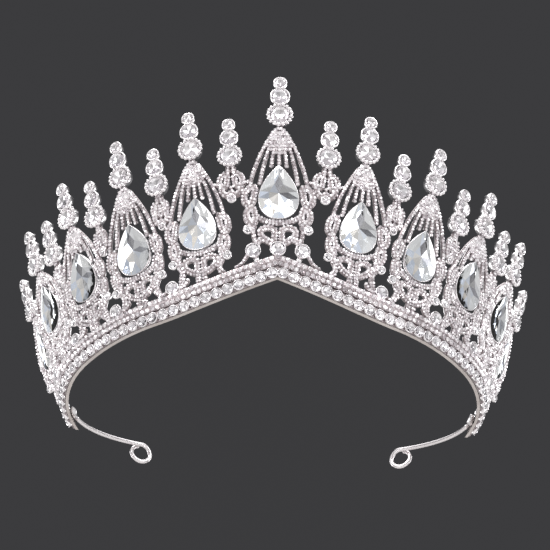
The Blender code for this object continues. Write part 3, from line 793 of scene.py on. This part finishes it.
def round_wire(B, pts, r, n=14):
    """Round wire with a rotation-free frame and rounded ends."""
    verts, faces = [], []
    up = Vector((0, 0, 1))
    k = len(pts)
    t0 = (pts[1] - pts[0]).normalized()
    side = t0.cross(up).normalized()
    rings = []
    for i in range(k):
        t = (pts[min(i + 1, k - 1)] - pts[max(i - 1, 0)]).normalized()
        side = (side - t * side.dot(t)).normalized()
        rings.append((pts[i], t, side, r))
    p, t, s, _ = rings[0]
    head = [(p - t * r * 0.55, t, s, r * 0.45), (p - t * r * 0.3, t, s, r * 0.85)]
    p, t, s, _ = rings[-1]
    end = [(p + t * r * 0.3, t, s, r * 0.85), (p + t * r * 0.55, t, s, r * 0.45)]
    rings = head + rings + end
    for p, t, s, q in rings:
        w = s.cross(t)
        verts += [p + s * q * math.cos(2 * math.pi * j / n) + w * q * math.sin(2 * math.pi * j / n) for j in range(n)]
    for i in range(len(rings) - 1):
        for j in range(n):
            j2 = (j + 1) % n
            faces.append((i * n + j, i * n + j2, (i + 1) * n + j2, (i + 1) * n + j))
    faces.append(tuple(range(n))[::-1])
    faces.append(tuple((len(rings) - 1) * n + j for j in range(n)))
    B.add(verts, faces, 0, True)


def bead_mesh(side):
    """Lump of solder that runs out along the band, a little uneven."""
    B = Build()
    p0 = math.radians(BEAD_ANGLE)
    q = inside(BEAD_ANGLE, TAIL_Z, GAP + 0.75)
    at = Matrix.Translation((side * q.x, q.y, q.z)) @ Matrix.Rotation(side * (p0 + math.radians(BEAD_TURN)), 4, "Z")
    v, f = [], []
    nu, nv = 20, 12
    for i in range(nv + 1):
        th = math.pi * i / nv
        for j in range(nu):
            ph = 2 * math.pi * j / nu
            w = 1 + 0.07 * math.sin(3 * ph + 2 * th) + 0.05 * math.cos(5 * th)
            v.append((2.3 * w * math.cos(th), 0.85 * w * math.sin(th) * math.cos(ph), 1.05 * w * math.sin(th) * math.sin(ph)))
    for i in range(nv):
        for j in range(nu):
            f.append((i * nu + j, i * nu + (j + 1) % nu, (i + 1) * nu + (j + 1) % nu, (i + 1) * nu + j))
    B.add(v, f, 0, True, at)
    return B.mesh(f"solder_{side}", [SOLDER])


for side, word in ((1, "right"), (-1, "left")):
    place(f"look_end_stone_{word}", end_mesh(side), ident, [f"end_stone_{word}"], "crown")
    B = Build()
    round_wire(B, tail_points(side), TAIL_D / 2)
    place(f"look_tail_wire_{word}", B.mesh(f"tail_{word}", [WIRE]), ident, [f"tail_wire_{word}"], f"{word}_tail")
    place(f"look_solder_bead_{word}", bead_mesh(side), ident, [f"solder_bead_{word}"], "crown")


# ---- studio: pale floor, soft boxes, camera ----
def floor():
    me = bpy.data.meshes.new("floor")
    w = 4.0
    me.from_pydata([(-w, -w, 0), (w, -w, 0), (w, w, 0), (-w, w, 0)], [], [(0, 1, 2, 3)])
    o = bpy.data.objects.new("floor", me)
    o.location = (0, 0, -0.30)
    m, n, l, s = nodes_of("pale_floor")
    t = n.new("ShaderNodeTexNoise")
    t.inputs["Scale"].default_value = 6.0
    r = ramp(n, ((0.3, (0.74, 0.73, 0.72)), (0.7, (0.78, 0.775, 0.77))))
    l.new(t.outputs["Fac"], r.inputs["Fac"])
    l.new(r.outputs["Color"], s.inputs["Base Color"])
    s.inputs["Roughness"].default_value = 0.7
    me.materials.append(m)
    bpy.context.scene.collection.objects.link(o)


LIGHT = 0.59


def soft_box(name, pos, look, size, power, colour=(1, 1, 1)):
    d = bpy.data.lights.new(name, "AREA")
    d.shape = "RECTANGLE"
    d.size, d.size_y = size
    d.energy = power * LIGHT
    d.color = colour
    o = bpy.data.objects.new(name, d)
    o.location = pos
    o.rotation_euler = (Vector(look) - Vector(pos)).to_track_quat("-Z", "Y").to_euler()
    bpy.context.scene.collection.objects.link(o)


floor()
soft_box("key", (-0.45, -0.65, 0.75), (0, -0.03, 0.02), (0.36, 0.3), 7.5, (1.0, 0.985, 0.97))
soft_box("fill", (0.6, -0.6, 0.55), (0, -0.03, 0.02), (0.3, 0.36), 4.2, (0.96, 0.98, 1.0))
soft_box("front", (0.0, -0.95, 0.22), (0, -0.03, 0.03), (0.4, 0.16), 1.1)
soft_box("front_left", (-0.75, -0.7, 0.0), (0, -0.03, 0.03), (0.35, 0.5), 2.0)
soft_box("front_right", (0.75, -0.7, 0.0), (0, -0.03, 0.03), (0.35, 0.5), 1.8)
soft_box("top", (0.0, 0.12, 0.9), (0, 0, 0), (0.8, 0.5), 5.0)
soft_box("rim_left", (-0.8, 0.5, 0.2), (0, 0, 0.03), (0.25, 0.7), 3.5)
soft_box("rim_right", (0.8, 0.55, 0.25), (0, 0, 0.03), (0.25, 0.7), 3.5)

w = bpy.data.worlds.new("studio")
bpy.context.scene.world = w
w.use_nodes = True
wn, wl = w.node_tree.nodes, w.node_tree.links
co = wn.new("ShaderNodeTexCoord")
sx = wn.new("ShaderNodeVectorMath")
sx.operation = "DOT_PRODUCT"
sx.inputs[1].default_value = (0.0, -0.75, 0.66)
wl.new(co.outputs["Generated"], sx.inputs[0])
sp = wn.new("ShaderNodeSeparateXYZ")
wl.new(co.outputs["Generated"], sp.inputs["Vector"])
ab = wn.new("ShaderNodeMath")
ab.operation = "ABSOLUTE"
wl.new(sp.outputs["X"], ab.inputs[0])
sc = wn.new("ShaderNodeMath")
sc.operation = "MULTIPLY"
sc.inputs[1].default_value = 0.66
wl.new(ab.outputs["Value"], sc.inputs[0])
mx = wn.new("ShaderNodeMath")
mx.operation = "MAXIMUM"
wl.new(sx.outputs["Value"], mx.inputs[0])
wl.new(sc.outputs["Value"], mx.inputs[1])
mr = wn.new("ShaderNodeMapRange")
mr.inputs["From Min"].default_value = -1.0
mr.inputs["From Max"].default_value = 1.0
wl.new(mx.outputs["Value"], mr.inputs["Value"])
rp = ramp(wn, ((0.0, (0.04, 0.04, 0.04)), (0.57, (0.045, 0.045, 0.048)), (0.68, (0.23, 0.23, 0.236)), (0.82, (0.63, 0.63, 0.63)), (1.0, (0.88, 0.88, 0.88))))
wl.new(mr.outputs["Result"], rp.inputs["Fac"])
wl.new(rp.outputs["Color"], wn["Background"].inputs["Color"])
wn["Background"].inputs["Strength"].default_value = 1.0

bpy.context.scene.view_settings.view_transform = "Standard"
cam = bpy.data.cameras.new("camera")
cam.lens, cam.sensor_width = 97.45, 36.0
cam.clip_start, cam.clip_end = 0.01, 20.0
co = bpy.data.objects.new("camera", cam)
right, up, look = Vector((0.99966, -0.02538, 0.00515)), Vector((-0.02137, -0.69612, 0.71760)), Vector((0.01463, 0.71747, 0.69643))
m = Matrix((right, up, -look)).transposed().to_4x4()
m.translation = Vector((-6.18, -296.81, -256.47)) * MM
co.matrix_world = m
bpy.context.scene.collection.objects.link(co)
bpy.context.scene.camera = co
